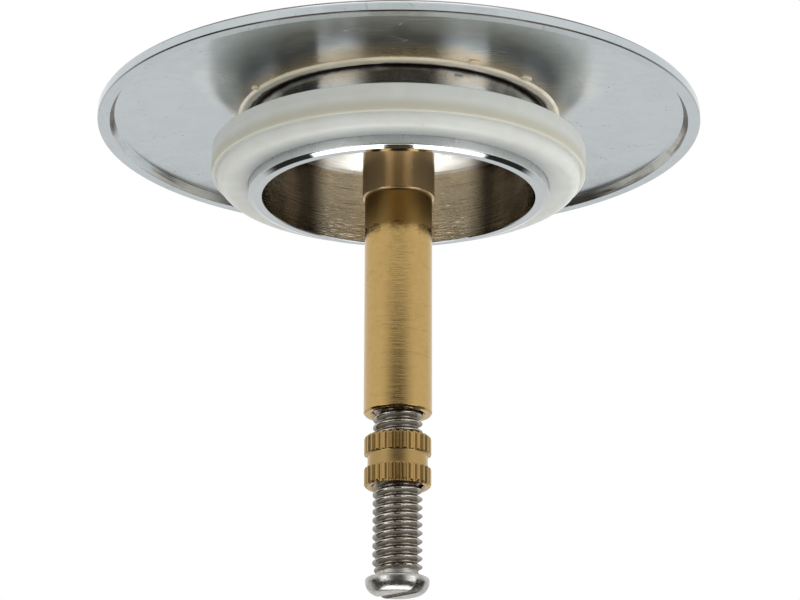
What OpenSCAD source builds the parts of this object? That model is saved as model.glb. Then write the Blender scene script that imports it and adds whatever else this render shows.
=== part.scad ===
// Bath plug with a pressed cap, a turned hub with a lip seal, and a stem of adjustable length.
// +Z runs up along the stem's axis to the cap. The origin is on that axis,
// in the plane of the hub's rim, where the stem leaves the hub.

/* [Cap] */
// Diameter of the cap
cap_d = 72; // [60:0.5:90]
// Height of the cap's lip plane above the hub's rim
lip_height = 8.8; // [8:0.1:14]
// Thickness of the cap's sheet
cap_sheet = 0.65; // [0.5:0.05:1.2]
// Radius of the cap's shallow dome
dome_r = 600; // [400:10:1500]
// Width of the flat lip around the underside
lip_w = 1.45; // [1:0.05:3]
// Width of the cove between the lip and the sheet
cove_w = 0.55; // [0.3:0.05:1.5]
// Depth of the sheet's underside above the lip plane
cove_h = 0.9; // [0.5:0.05:2]
// Radius of the cap's upper outer corner
edge_round = 0.6; // [0.2:0.05:0.6]
// Chamfer of the lip's outer corner
lip_chamfer = 0.12; // [0.05:0.01:0.3]

/* [Hub] */
// Diameter of the hub's neck under the cap
neck_d = 35.2; // [30:0.1:40]
// Wall left between the seal groove and the cup
hub_wall = 0.75; // [0.6:0.05:1.5]
// Thickness of the hub's web under the cap
hub_web = 1.15; // [0.8:0.05:2]
// Depth of the groove that holds the seal
groove_depth = 0.6; // [0.4:0.05:1]
// Step of the collar beyond the neck
collar_step = 0.3; // [0.1:0.05:0.6]
// Thickness of the hub's flange over the seal
flange_t = 0.8; // [0.6:0.05:1.2]
// Height of the collar under the seal
collar_h = 1.6; // [1:0.05:2]
// Width of the bevel around the hub's rim
bevel_w = 0.7; // [0.3:0.05:0.8]
// Height of the bevel around the hub's rim
bevel_h = 0.28; // [0.1:0.02:0.5]
// Chamfer of the cup's mouth
mouth_chamfer = 0.12; // [0.05:0.01:0.3]

/* [Solder] */
// Width of the solder bead around the neck
bead_w = 1.7; // [1:0.1:3]
// Depth of the solder bead on the neck
bead_h = 0.5; // [0.3:0.05:0.8]
// Thickness of the solder that floods the cup's web
pool_t = 0.35; // [0.2:0.05:0.6]
// Radius of the solder's hollow corner at the wall and the boss
pool_fillet = 0.6; // [0.3:0.05:1]

/* [Seal] */
// Diameter of the seal's upper band
seal_d = 44.7; // [42:0.1:50]
// Height of the whole seal
seal_h = 4.45; // [4.4:0.05:5]
// Height of the seal's upper band
band_h = 3.35; // [2:0.05:3.5]
// Step from the band to the seal's lower part
seal_step = 0.7; // [0.3:0.05:1.2]
// Radius of the seal's lower outer corner
seal_round = 0.8; // [0.3:0.05:1]
// Rise of the seal's foot from its corner to the collar
foot_rise = 0.35; // [0.2:0.05:0.5]
// Radius of the seal's upper outer corner
band_round = 0.25; // [0.1:0.05:0.5]
// Width of the seal's rim around the hub's flange
rim_w = 0.85; // [0.7:0.05:1.5]

/* [Boss] */
// Diameter of the boss that carries the stem
boss_d = 8.6; // [8.2:0.1:12]
// Chamfer of the boss's end
boss_chamfer = 0.2; // [0.1:0.05:0.3]

/* [Stem] */
// Diameter of the stem
stem_d = 8; // [7.8:0.1:8.2]
// Length of the stem below the hub's rim
stem_len = 26.6; // [24:0.1:60]
// Diameter of the spigot that holds the stem in the boss
spigot_d = 6; // [4:0.1:6.5]
// Length of the spigot
spigot_len = 6.5; // [4:0.1:7]
// Depth of the stem's threaded bore
bore_depth = 22; // [21:0.5:23]
// Chamfer of the stem's two outer corners
stem_chamfer = 0.15; // [0.1:0.05:0.4]

/* [Adjusting screw] */
// Diameter over the screw's thread
thread_d = 5.8; // [5:0.1:6]
// Length of the screw under its head
screw_len = 32; // [30:0.5:32]
// Length of the screw that shows below the stem
screw_out = 19.4; // [19:0.1:24]
// Diameter of the screw's head
head_d = 7.4; // [7:0.1:7.8]
// Height of the screw's head
head_h = 1.9; // [1.6:0.1:3]
// Radius of the head's lower corner
head_round = 0.9; // [0.3:0.05:1]
// Radius of the head's upper corner
head_shoulder = 0.25; // [0.1:0.05:0.4]
// Width of the screwdriver slot
slot_w = 1.4; // [1:0.1:1.6]
// Depth of the screwdriver slot
slot_depth = 1.2; // [0.8:0.1:1.3]
// Direction of the screwdriver slot
slot_angle = -42; // [-90:1:90]
// Chamfer of the screw's upper end
tip_chamfer = 0.6; // [0.3:0.05:1]

/* [Lock nut] */
// Diameter over the nut's knurled bands
nut_d = 7.8; // [7.4:0.05:7.9]
// Height of the nut
nut_h = 6; // [5:0.1:7]
// Height of each knurled band
knurl_h = 2.15; // [1.5:0.05:2.3]
// Diameter of the plain waist between the bands
waist_d = 7; // [6.7:0.05:7]
// Number of teeth on each band
tooth_count = 28; // [20:1:36]
// Depth of the grooves between the teeth
tooth_depth = 0.32; // [0.2:0.02:0.4]
// Share of the pitch that the flat crest of a tooth takes
crest_share = 0.24; // [0.1:0.02:0.4]
// Share of the pitch that the floor of a groove takes
floor_share = 0.2; // [0.1:0.02:0.4]
// Chamfer of the knurled bands' corners
nut_chamfer = 0.2; // [0.1:0.02:0.3]
// Gap between the stem's end and the nut
nut_gap = 2.7; // [2.7:0.1:4]

/* [Fits] */
// Radial clearance of the screw in the stem and in the nut
thread_clear = 0.05; // [0.02:0.01:0.1]
// Radial clearance between parts that are pressed together
press_clear = 0.01; // [0:0.01:0.03]
// Chamfer at the mouth of each threaded bore
bore_chamfer = 0.15; // [0.05:0.05:0.3]

/* [Hidden] */
$fn = 96;
// Number of straight pieces in a quarter of a small round corner
corner_steps = 6;
// Number of straight pieces in each stretch of the dome
dome_steps = 4;
// Length by which a cut runs past the face that it opens
past = 1;

cap_r = cap_d / 2;
neck_r = neck_d / 2;
groove_r = neck_r - groove_depth;
cup_r = groove_r - hub_wall;
collar_r = neck_r + collar_step;
bead_r = neck_r + bead_w;
boss_r = boss_d / 2;
stem_r = stem_d / 2;
spigot_r = spigot_d / 2;
thread_r = thread_d / 2;
bore_r = thread_r + thread_clear;
seal_r = seal_d / 2;
seal_low_r = seal_r - seal_step;
flange_r = seal_r - rim_w;

// Heights along the stem's axis, from the plane of the hub's rim
cove_in_r = cap_r - lip_w - cove_w;
sheet_rim_z = lip_height + cove_h;
web_z = under_z(0) - hub_web;
pool_z = web_z - pool_t;
seal_z = collar_h;
seal_top_z = seal_z + seal_h;
stem_end_z = -stem_len;
head_z = stem_end_z - screw_out;
nut_z = stem_end_z - nut_gap - nut_h;

// Height of the sheet's underside at the distance r from the axis
function under_z(r) = sheet_rim_z + (cove_in_r * cove_in_r - r * r) / (2 * dome_r);

// Points of the underside from the distance r0 to r1, raised by dz
function dome_points(r0, r1, dz) =
    [for (i = [0:dome_steps]) let (r = r0 + (r1 - r0) * i / dome_steps) [r, under_z(r) + dz]];

// Points of an arc around c with radius r from the angle a0 to a1
function arc_points(c, r, a0, a1) =
    [for (i = [0:corner_steps]) let (a = a0 + (a1 - a0) * i / corner_steps)
        c + r * [cos(a), sin(a)]];

// A solid turned around the axis from its half outline
module turned(points) {
    rotate_extrude() polygon(points);
}

// A threaded bore's plain core with a chamfer at its lower mouth
module bore_from_below(mouth_z, depth) {
    turned([
        [0, mouth_z - past], [bore_r + bore_chamfer, mouth_z - past],
        [bore_r + bore_chamfer, mouth_z], [bore_r, mouth_z + bore_chamfer],
        [bore_r, mouth_z + depth], [0, mouth_z + depth + bore_r / 2]
    ]);
}

// The chrome cap: a shallow domed sheet with a thicker lip around its underside
module cap() {
    round_r = cap_r - edge_round;
    round_z = under_z(round_r) + cap_sheet - edge_round;
    color("lightsteelblue") turned(concat(
        dome_points(0, neck_r, 0),
        dome_points(neck_r, bead_r, 0),
        dome_points(bead_r, cove_in_r, 0),
        [[cap_r - lip_w, lip_height], [cap_r - lip_chamfer, lip_height],
         [cap_r, lip_height + lip_chamfer]],
        arc_points([round_r, round_z], edge_round, 0, 90),
        dome_points(round_r, bead_r, cap_sheet),
        dome_points(bead_r, neck_r, cap_sheet),
        dome_points(neck_r, 0, cap_sheet)
    ));
}

// The solder bead: a hollow-faced ring in the corner of the cap and the neck
module solder_bead() {
    color("gainsboro") turned(concat(
        [[neck_r, under_z(neck_r)]],
        [for (i = [0:corner_steps]) let (t = i / corner_steps)
            [neck_r + bead_w * pow(t, 2),
             under_z(neck_r + bead_w * pow(t, 2)) - bead_h * pow(1 - t, 2)]]
    ));
}

// The hub: an upturned cup with a web, and a seal groove between a flange and a bevelled collar
module hub() {
    color("silver") turned(concat(
        [[0, web_z], [cup_r, web_z], [cup_r, mouth_chamfer], [cup_r + mouth_chamfer, 0],
         [collar_r - bevel_w, 0], [collar_r, bevel_h],
         [collar_r, collar_h], [groove_r, collar_h], [groove_r, seal_top_z - flange_t],
         [flange_r, seal_top_z - flange_t], [flange_r, seal_top_z], [neck_r, seal_top_z]],
        dome_points(neck_r, 0, 0)
    ));
}

// The solder that floods the web between the cup's wall and the boss
module solder_pool() {
    wall_c = [cup_r - pool_fillet, pool_z - pool_fillet];
    boss_c = [boss_r + pool_fillet, pool_z - pool_fillet];
    color("whitesmoke") turned(concat(
        [[boss_r, web_z]],
        arc_points(boss_c, pool_fillet, 180, 90),
        arc_points(wall_c, pool_fillet, 90, 0),
        [[cup_r, web_z]]
    ));
}

// The boss: a turned post under the web with a blind hole for the stem's spigot
module stem_boss() {
    hole_r = spigot_r + press_clear;
    color("rosybrown") difference() {
        turned([
            [0, 0], [boss_r - boss_chamfer, 0], [boss_r, boss_chamfer],
            [boss_r, web_z], [0, web_z]
        ]);
        translate([0, 0, -past]) cylinder(r = hole_r, h = spigot_len + press_clear + past);
    }
}

// The lip seal: a wide band around the flange above a narrower part with a round foot
module seal_ring() {
    seat_r = groove_r + press_clear;
    inner_r = flange_r + press_clear;
    ledge_z = seal_top_z - flange_t;
    foot_z = seal_z - foot_rise;
    color("antiquewhite") turned(concat(
        [[seat_r, seal_z], [collar_r, seal_z]],
        arc_points([seal_low_r - seal_round, foot_z + seal_round], seal_round, -90, 0),
        [[seal_low_r, seal_top_z - band_h], [seal_r - band_round, seal_top_z - band_h]],
        arc_points([seal_r - band_round, seal_top_z - band_h + band_round], band_round, -90, 0),
        arc_points([seal_r - band_round, seal_top_z - band_round], band_round, 0, 90),
        [[inner_r, seal_top_z], [inner_r, ledge_z], [seat_r, ledge_z]]
    ));
}

// The stem: a brass rod with a spigot above and a threaded bore below
module stem() {
    color("darkgoldenrod") difference() {
        turned([
            [0, stem_end_z], [stem_r - stem_chamfer, stem_end_z],
            [stem_r, stem_end_z + stem_chamfer], [stem_r, -stem_chamfer],
            [stem_r - stem_chamfer, 0], [spigot_r, 0], [spigot_r, spigot_len],
            [0, spigot_len]
        ]);
        bore_from_below(stem_end_z, bore_depth);
    }
}

// The screw: a shank as wide as its thread under a rounded head with a slot
module adjusting_screw() {
    head_r = head_d / 2;
    foot_z = head_z - head_h;
    tip_z = head_z + screw_len;
    color("slategray") difference() {
        turned(concat(
            [[0, foot_z]],
            arc_points([head_r - head_round, foot_z + head_round], head_round, -90, 0),
            arc_points([head_r - head_shoulder, head_z - head_shoulder], head_shoulder, 0, 90),
            [[thread_r, head_z], [thread_r, tip_z - tip_chamfer],
             [thread_r - tip_chamfer, tip_z], [0, tip_z]]
        ));
        rotate([0, 0, slot_angle]) translate([-head_d, -slot_w / 2, foot_z - past])
            cube([2 * head_d, slot_w, slot_depth + past]);
    }
}

// Corners of the straight knurl's outline: crest, flank, floor and flank of each tooth
function knurl_points() =
    let (pitch = 360 / tooth_count, crest_r = nut_d / 2, floor_r = crest_r - tooth_depth)
    [for (i = [0:tooth_count - 1], corner = [
        [crest_r, -crest_share / 2], [crest_r, crest_share / 2],
        [floor_r, (1 - floor_share) / 2], [floor_r, (1 + floor_share) / 2]])
        let (a = (i + corner[1]) * pitch) corner[0] * [cos(a), sin(a)]];

// One knurled band from the height z, with its outer corners chamfered
module knurled_band(z) {
    crest_r = nut_d / 2;
    intersection() {
        translate([0, 0, z]) linear_extrude(knurl_h) polygon(knurl_points());
        turned([
            [0, z], [crest_r - nut_chamfer, z], [crest_r, z + nut_chamfer],
            [crest_r, z + knurl_h - nut_chamfer], [crest_r - nut_chamfer, z + knurl_h],
            [0, z + knurl_h]
        ]);
    }
}

// The lock nut: two straight-knurled bands with a plain waist between them
module lock_nut() {
    color("goldenrod") difference() {
        union() {
            knurled_band(nut_z);
            knurled_band(nut_z + nut_h - knurl_h);
            translate([0, 0, nut_z + knurl_h / 2])
                cylinder(d = waist_d, h = nut_h - knurl_h);
        }
        bore_from_below(nut_z, nut_h + past);
        translate([0, 0, nut_z + nut_h - bore_chamfer])
            cylinder(r1 = bore_r, r2 = bore_r + bore_chamfer, h = bore_chamfer);
    }
}

cap();
solder_bead();
hub();
solder_pool();
stem_boss();
seal_ring();
stem();
adjusting_screw();
lock_nut();
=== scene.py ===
"""Bath plug: the dressed pieces, the studio and the camera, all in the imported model's frame.

Sizes are in mm and MM turns them into the scene's metres. The camera, the lamps and the floor are
in metres.
"""

from __future__ import annotations

import logging
import math
from collections.abc import Sequence
from dataclasses import dataclass
from enum import Enum
from typing import ClassVar

import bmesh
import bpy
import mathutils
import numpy as np
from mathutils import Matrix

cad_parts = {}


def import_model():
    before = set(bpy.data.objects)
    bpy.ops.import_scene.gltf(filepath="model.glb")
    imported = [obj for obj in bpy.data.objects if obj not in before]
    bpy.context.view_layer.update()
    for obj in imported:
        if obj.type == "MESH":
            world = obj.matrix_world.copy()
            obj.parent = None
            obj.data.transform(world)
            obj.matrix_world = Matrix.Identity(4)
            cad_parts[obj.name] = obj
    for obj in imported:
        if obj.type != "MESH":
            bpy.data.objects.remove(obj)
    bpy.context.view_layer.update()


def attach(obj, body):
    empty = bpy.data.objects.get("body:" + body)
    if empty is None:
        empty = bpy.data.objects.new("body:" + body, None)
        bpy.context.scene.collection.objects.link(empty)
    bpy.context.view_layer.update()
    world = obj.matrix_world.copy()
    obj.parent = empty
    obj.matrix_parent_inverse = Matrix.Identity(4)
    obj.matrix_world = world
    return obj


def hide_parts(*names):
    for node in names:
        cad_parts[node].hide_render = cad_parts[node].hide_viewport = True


LOG = logging.getLogger("bath_plug")
MM = 0.001
SMOOTH_ANGLE = math.radians(38)
FULL_TURN = 2 * math.pi
# Lengths that count as none, and half angles so near a right angle that they are no corner
TINY, STRAIGHT = 1e-6, 1e-3
# How far a guard point stands from an arc and from a sharp corner
ARC_GUARD, CORNER_GUARD = 0.04, 0.03
# How near a row lies to a bore's radius to be its wall
WALL_GAP = 0.02
# Points that become one and edges that go, in metres
MERGE_GAP, FLAT_GAP = 1e-7, 1e-8

Colour = tuple[float, float, float]
Corner = tuple[float, float, float]
Place = tuple[float, float, float]
Range = tuple[float, ...]
Array = np.ndarray
Mesh = bpy.types.Mesh
Node = bpy.types.Node
Outputs = bpy.types.NodeOutputs
Socket = bpy.types.NodeSocket
Tree = bpy.types.NodeTree

ORIGIN: Place = (0.0, 0.0, 0.0)
ACROSS: Place = (1.0, 0.0, 0.0)
DEPTH: Place = (0.0, 1.0, 0.0)
UP: Place = (0.0, 0.0, 1.0)
AROUND: Place = (1.0, 1.0, 0.0)


class Body(Enum):
    """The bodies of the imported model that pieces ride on."""

    PLUG = "plug"
    SCREW = "screw"
    NUT = "nut"


class Slot(Enum):
    """The record's material slots."""

    CAP = "cap_chrome"
    HUB = "hub_chrome"
    SOLDER = "solder"
    BOSS = "boss_nickel"
    STEM = "stem_brass"
    NUT = "nut_brass"
    SCREW = "screw_steel"
    SEAL = "seal_silicone"


class Ends(Enum):
    """How the rows of a turned grid end."""

    RING = "ring"
    POLES = "poles"


# Profiles and grids


def smooth(x: Array) -> Array:
    """Smooth step of a share from 0 to 1."""
    return x * x * (3 - 2 * x)


def share(x: Array, low: float, high: float) -> Array:
    """How far x has come from low to high, as 0 to 1."""
    return np.clip((x - low) / (high - low), 0, 1)


def rounded_path(corners: Sequence[Corner], closed: bool, steps: int = 6) -> Array:
    """Joins corners by straight lines and rounds each one by its own radius.

    The arc at a corner touches both sides at radius / tan(half the angle between them), and a
    guard point stands a little beyond each end of it, which keeps the flats flat in shading.

    Args:
        corners: (distance from the axis, height, radius) of each corner.
        closed: Whether the last corner joins the first.
        steps: Straight pieces in each arc.

    Returns:
        The points of the path, (n, 2).
    """
    table = np.array(corners, dtype=float)
    p, radius = table[:, :2], table[:, 2]
    back, ahead = np.roll(p, 1, axis=0) - p, np.roll(p, -1, axis=0) - p
    if not closed:
        back[0], ahead[-1] = -ahead[0], -back[-1]
        radius[[0, -1]] = 0.0
    back /= np.linalg.norm(back, axis=1, keepdims=True)
    ahead /= np.linalg.norm(ahead, axis=1, keepdims=True)
    half = np.arccos(np.clip((back * ahead).sum(axis=1), -1.0, 1.0)) / 2
    radius = np.where(half > math.pi / 2 - STRAIGHT, 0.0, radius)
    reach = radius / np.tan(half)
    middle = back + ahead
    middle /= np.maximum(np.linalg.norm(middle, axis=1, keepdims=True), TINY)
    centre = p + middle * (radius / np.sin(half))[:, None]
    first, last = p + back * reach[:, None] - centre, p + ahead * reach[:, None] - centre
    turn = np.maximum(math.pi - 2 * half, TINY)[:, None]
    part = np.linspace(0, 1, steps + 1)[None, :]
    a, b = np.sin((1 - part) * turn) / np.sin(turn), np.sin(part * turn) / np.sin(turn)
    arc = centre[:, None] + a[..., None] * first[:, None] + b[..., None] * last[:, None]
    arc = np.where((radius > 0)[:, None, None], arc, p[:, None])
    guard = np.where(radius > 0, reach + np.minimum(ARC_GUARD, radius / 3), CORNER_GUARD)[:, None]
    rows = np.concatenate([(p + back * guard)[:, None], arc, (p + ahead * guard)[:, None]], axis=1)
    if not closed:
        rows[0, :], rows[-1, :] = p[0], p[-1]
    path = rows.reshape(-1, 2)
    keep = np.r_[True, np.linalg.norm(np.diff(path, axis=0), axis=1) > TINY]
    return path[keep]


def profile(corners: Sequence[Corner], gap: float, closed: bool = True, steps: int = 6) -> Array:
    """A rounded path with added points, so that long stretches have one about every gap.

    Args:
        corners: (distance from the axis, height, radius) of each corner.
        gap: Wanted distance between points.
        closed: Whether the last corner joins the first.
        steps: Straight pieces in each arc.

    Returns:
        The points of the path, (n, 2).
    """
    path = rounded_path(corners, closed, steps)
    along = np.r_[0.0, np.cumsum(np.linalg.norm(np.diff(path, axis=0), axis=1))]
    extra = np.arange(gap, along[-1], gap)
    nearest = np.abs(extra[:, None] - along[None, :]).min(axis=1)
    s = np.sort(np.concatenate([along, extra[nearest > gap / 3]]))
    return np.stack([np.interp(s, along, path[:, 0]), np.interp(s, along, path[:, 1])], axis=1)


def around(r: Array, z: Array, angle: Array) -> Array:
    """Points at a distance from the axis, a height and an angle round it."""
    return np.stack(np.broadcast_arrays(r * np.cos(angle), r * np.sin(angle), z), axis=-1)


def turned_grid(path: Array, cols: int) -> Array:
    """Turns a half outline around Z: each point becomes a circle at its height.

    Args:
        path: (distance from the axis, height) of each row.
        cols: Points round each circle.

    Returns:
        The grid of points, (rows, cols, 3).
    """
    return around(path[:, :1], path[:, 1:], np.arange(cols) * (FULL_TURN / cols))


def angles(grid: Array) -> Array:
    """Angle round the axis of each point of a grid."""
    return np.arctan2(grid[..., 1], grid[..., 0])


def swell(grid: Array, shift: Array, r: float) -> None:
    """Moves points away from the axis, by the whole shift where they lie at the radius r."""
    grid[..., :2] *= (1 + shift / r)[..., None]


def cut_thread(grid: Array, path: Array, bore_r: float, pitch: float = 1.0,
               depth: float = 0.16) -> None:
    """Cuts a helical groove outward into a bore's wall, deepest where the turn meets the height.

    Args:
        grid: The turned grid, changed in place.
        path: Its half outline.
        bore_r: Radius of the wall that takes the groove.
        pitch: Rise of the groove in a full turn.
        depth: Depth of the groove.
    """
    wall = np.abs(path[:, 0] - bore_r) < WALL_GAP
    phase = FULL_TURN * path[:, 1:] / pitch - angles(grid)
    swell(grid, depth * (0.5 + 0.5 * np.cos(phase)) * wall[:, None], bore_r)


def waves(grid: Array, along: Array, seed: int, coarse: float, count: int = 12) -> Array:
    """A smooth uneven surface: a sum of cosine waves with seeded turns, lengths and phases.

    Args:
        grid: The grid of points.
        along: Distance along the outline of each row, (rows, 1).
        seed: Seed of the waves.
        coarse: Number of waves round the axis that the strongest ones have.
        count: How many waves are summed.

    Returns:
        Values of about -1 to 1, one for each point.
    """
    rng = np.random.default_rng(seed)
    turns = np.round(rng.uniform(0.3, 2.2, count) * coarse)
    lengths = rng.uniform(-3.0, 3.0, count)
    phases = rng.uniform(0, FULL_TURN, count)
    sizes = rng.uniform(0.5, 1.0, count)
    total = np.cos(angles(grid)[..., None] * turns + along[..., None] * lengths + phases) @ sizes
    return total / np.sqrt((sizes ** 2).sum() / 2) / 2


# Meshes


def grid_mesh(name: str, grid: Array, ends: Ends) -> Mesh:
    """Makes a closed mesh of a grid whose columns go round the axis.

    Quads join neighbouring rows and columns, and turn round where their signed volume is
    negative. With poles, the first and last row shrink to one point each.

    Args:
        name: Name of the mesh.
        grid: Points, (rows, cols, 3).
        ends: Whether the rows close in a ring or in two poles.

    Returns:
        The mesh, in metres, with its faces outward.
    """
    rows, cols = grid.shape[:2]
    ring = ends is Ends.RING
    row, col = np.arange(rows if ring else rows - 1)[:, None], np.arange(cols)[None, :]
    down, right = (row + 1) % rows, (col + 1) % cols
    around = (row * cols + col, row * cols + right, down * cols + right, down * cols + col)
    quads = np.stack(np.broadcast_arrays(*around), axis=-1).reshape(-1, 4)
    points = grid.reshape(-1, 3)
    a, b, c, d = (points[quads[:, corner]] for corner in range(4))
    if (a * np.cross(b, c)).sum() + (a * np.cross(c, d)).sum() <= 0:
        quads = quads[:, ::-1]
    if not ring:
        points = points.copy()
        points[:cols], points[-cols:] = points[:cols].mean(axis=0), points[-cols:].mean(axis=0)
    return flat_mesh(name, points, quads)


def flat_mesh(name: str, points: Array, quads: Array) -> Mesh:
    """Puts points and quads into a smooth mesh and merges what falls together.

    Args:
        name: Name of the mesh.
        points: Points, (n, 3).
        quads: Numbers of each face's four points, (faces, 4).

    Returns:
        The mesh, in metres.
    """
    mesh = bpy.data.meshes.new(name)
    mesh.vertices.add(len(points))
    mesh.vertices.foreach_set("co", (points * MM).ravel())
    mesh.loops.add(quads.size)
    mesh.loops.foreach_set("vertex_index", quads.ravel().astype(np.int32))
    mesh.polygons.add(len(quads))
    mesh.polygons.foreach_set("loop_start", np.arange(0, quads.size, 4, dtype=np.int32))
    mesh.update(calc_edges=True)
    tidy_mesh(mesh)
    return mesh


def tidy_mesh(mesh: Mesh) -> None:
    """Merges doubled points, drops what has no area and shades the faces smooth.

    Args:
        mesh: The mesh, changed in place.
    """
    work = bmesh.new()
    work.from_mesh(mesh)
    bmesh.ops.remove_doubles(work, verts=work.verts, dist=MERGE_GAP)
    bmesh.ops.dissolve_degenerate(work, edges=work.edges, dist=FLAT_GAP)
    work.to_mesh(mesh)
    work.free()
    mesh.validate()
    mesh.shade_smooth()
    mesh.set_sharp_from_angle(angle=SMOOTH_ANGLE)


def face_places(mesh: Mesh) -> tuple[Array, Array, Array]:
    """Where each face's middle is.

    Args:
        mesh: The mesh, in metres.

    Returns:
        Distance from the axis, height and depth (along Y) of each face.
    """
    centres = np.empty(len(mesh.polygons) * 3)
    mesh.polygons.foreach_get("center", centres)
    centres = centres.reshape(-1, 3) / MM
    return np.hypot(centres[:, 0], centres[:, 1]), centres[:, 2], centres[:, 1]


def number_faces(mesh: Mesh, masks: dict[int, Array]) -> None:
    """Gives each face the number of the first mask that holds it, or else 0."""
    number = np.select(list(masks.values()), list(masks), 0)
    mesh.polygons.foreach_set("material_index", number.astype(np.int32))


def new_object(name: str, data: bpy.types.ID) -> bpy.types.Object:
    """Adds an object to the scene."""
    made = bpy.data.objects.new(name, data)
    bpy.context.scene.collection.objects.link(made)
    return made


# Node trees


class Wiring:
    """Adds nodes to a tree and links them in few words."""

    def __init__(self, tree: Tree) -> None:
        """Keeps the tree."""
        self.tree = tree

    def node(self, kind: str, *row: object, **named: object) -> Node:
        """Adds a node.

        Args:
            kind: Its type.
            row: Values of its first inputs, in their order.
            named: Its properties, in small letters, and its inputs, whose names start large.

        Returns:
            The node.
        """
        made = self.tree.nodes.new(kind)
        for name in filter(str.islower, tuple(named)):
            setattr(made, name, named.pop(name))
        return self.fill(made, *row, **named)

    def feed(self, socket: Socket, value: object) -> None:
        """Links an input to a socket or sets its constant, where a colour gets its alpha."""
        if isinstance(value, Socket):
            self.tree.links.new(value, socket)
        elif isinstance(value, tuple) and len(value) == 3 and len(socket.default_value) == 4:
            socket.default_value = (*value, 1.0)
        else:
            socket.default_value = value

    def fill(self, node: Node, *row: object, **named: object) -> Node:
        """Feeds several inputs of a node.

        Args:
            node: The node.
            row: Values of its first inputs, in their order.
            named: Values of inputs by name, with _ for a space.

        Returns:
            The node.
        """
        for socket, value in zip(node.inputs, row):
            self.feed(socket, value)
        for name, value in named.items():
            self.feed(node.inputs[name.replace("_", " ")], value)
        return node

    def math(self, operation: str, *values: object, clamp: bool = False) -> Socket:
        """A Math node on one or two values."""
        return self.node("ShaderNodeMath", *values, operation=operation, use_clamp=clamp).outputs[0]

    def times(self, *values: object) -> Socket:
        """The product of two values."""
        return self.math("MULTIPLY", *values)

    def plus(self, *values: object, clamp: bool = False) -> Socket:
        """The sum of two values, on request kept from 0 to 1."""
        return self.math("ADD", *values, clamp=clamp)

    def minus(self, *values: object) -> Socket:
        """The first value less the second."""
        return self.math("SUBTRACT", *values)

    def vector(self, operation: str, *values: object) -> Socket:
        """A Vector Math node on one or two vectors."""
        made = self.node("ShaderNodeVectorMath", *values, operation=operation)
        return made.outputs["Value" if operation == "LENGTH" else "Vector"]

    def scaled(self, where: object, factor: object) -> Socket:
        """A vector times a number."""
        return self.node("ShaderNodeVectorMath", where, operation="SCALE", Scale=factor).outputs["Vector"]

    def length(self, where: object, along: Place) -> Socket:
        """Length of a vector whose parts are weighed by along."""
        return self.vector("LENGTH", self.vector("MULTIPLY", where, along))

    def parts(self, where: object) -> Outputs:
        """The three parts of a vector."""
        return self.node("ShaderNodeSeparateXYZ", where).outputs

    def ramp(self, value: object, low: object, high: object, to_low: float = 0.0,
             to_high: float = 1.0) -> Socket:
        """Smoothly maps low..high to to_low..to_high and stops there."""
        made = self.node("ShaderNodeMapRange", value, low, high, to_low, to_high,
                         interpolation_type="SMOOTHSTEP")
        return made.outputs["Result"]

    def mix(self, amount: object, a: object, b: object) -> Socket:
        """Mixes two colours, whose inputs are the Mix node's seventh and eighth."""
        made = self.node("ShaderNodeMix", data_type="RGBA")
        for number, value in ((0, amount), (6, a), (7, b)):
            self.feed(made.inputs[number], value)
        return made.outputs[2]

    def noise(self, where: object, scale: float, detail: object = 2.0, rough: float = 0.5,
              warp: float = 0.0) -> Socket:
        """Value of a noise texture at that place."""
        return self.node("ShaderNodeTexNoise", Vector=where, Scale=scale, Detail=detail, Roughness=rough,
                         Distortion=warp).outputs[0]

    def cells(self, where: object, feature: str, scale: float) -> Socket:
        """Distance in a field of cells, to their centres with F1 or to their edges."""
        made = self.node("ShaderNodeTexVoronoi", feature=feature, Vector=where, Scale=scale)
        return made.outputs["Distance"]

    def group(self, tree: Tree, **values: object) -> Outputs:
        """Places a node group, feeds its inputs by name and gives its outputs."""
        return self.node("ShaderNodeGroup", node_tree=tree, **values).outputs


class Paint(Wiring):
    """A new material, with its Principled node and the place on the piece."""

    def __init__(self, name: str) -> None:
        """Makes the material."""
        self.made = bpy.data.materials.new(name)
        self.made.use_nodes = True
        super().__init__(self.made.node_tree)
        self.shader = self.tree.nodes["Principled BSDF"]
        self.where = self.node("ShaderNodeTexCoord").outputs["Object"]

    def dress(self, **values: object) -> None:
        """Feeds the Principled node's inputs by name."""
        self.fill(self.shader, **values)

    def bump(self, height: Socket, depth: float) -> Socket:
        """Normal of a surface that a height of 1 raises by that depth."""
        return self.node("ShaderNodeBump", Strength=1.0, Distance=depth * MM, Height=height).outputs[0]


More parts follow.
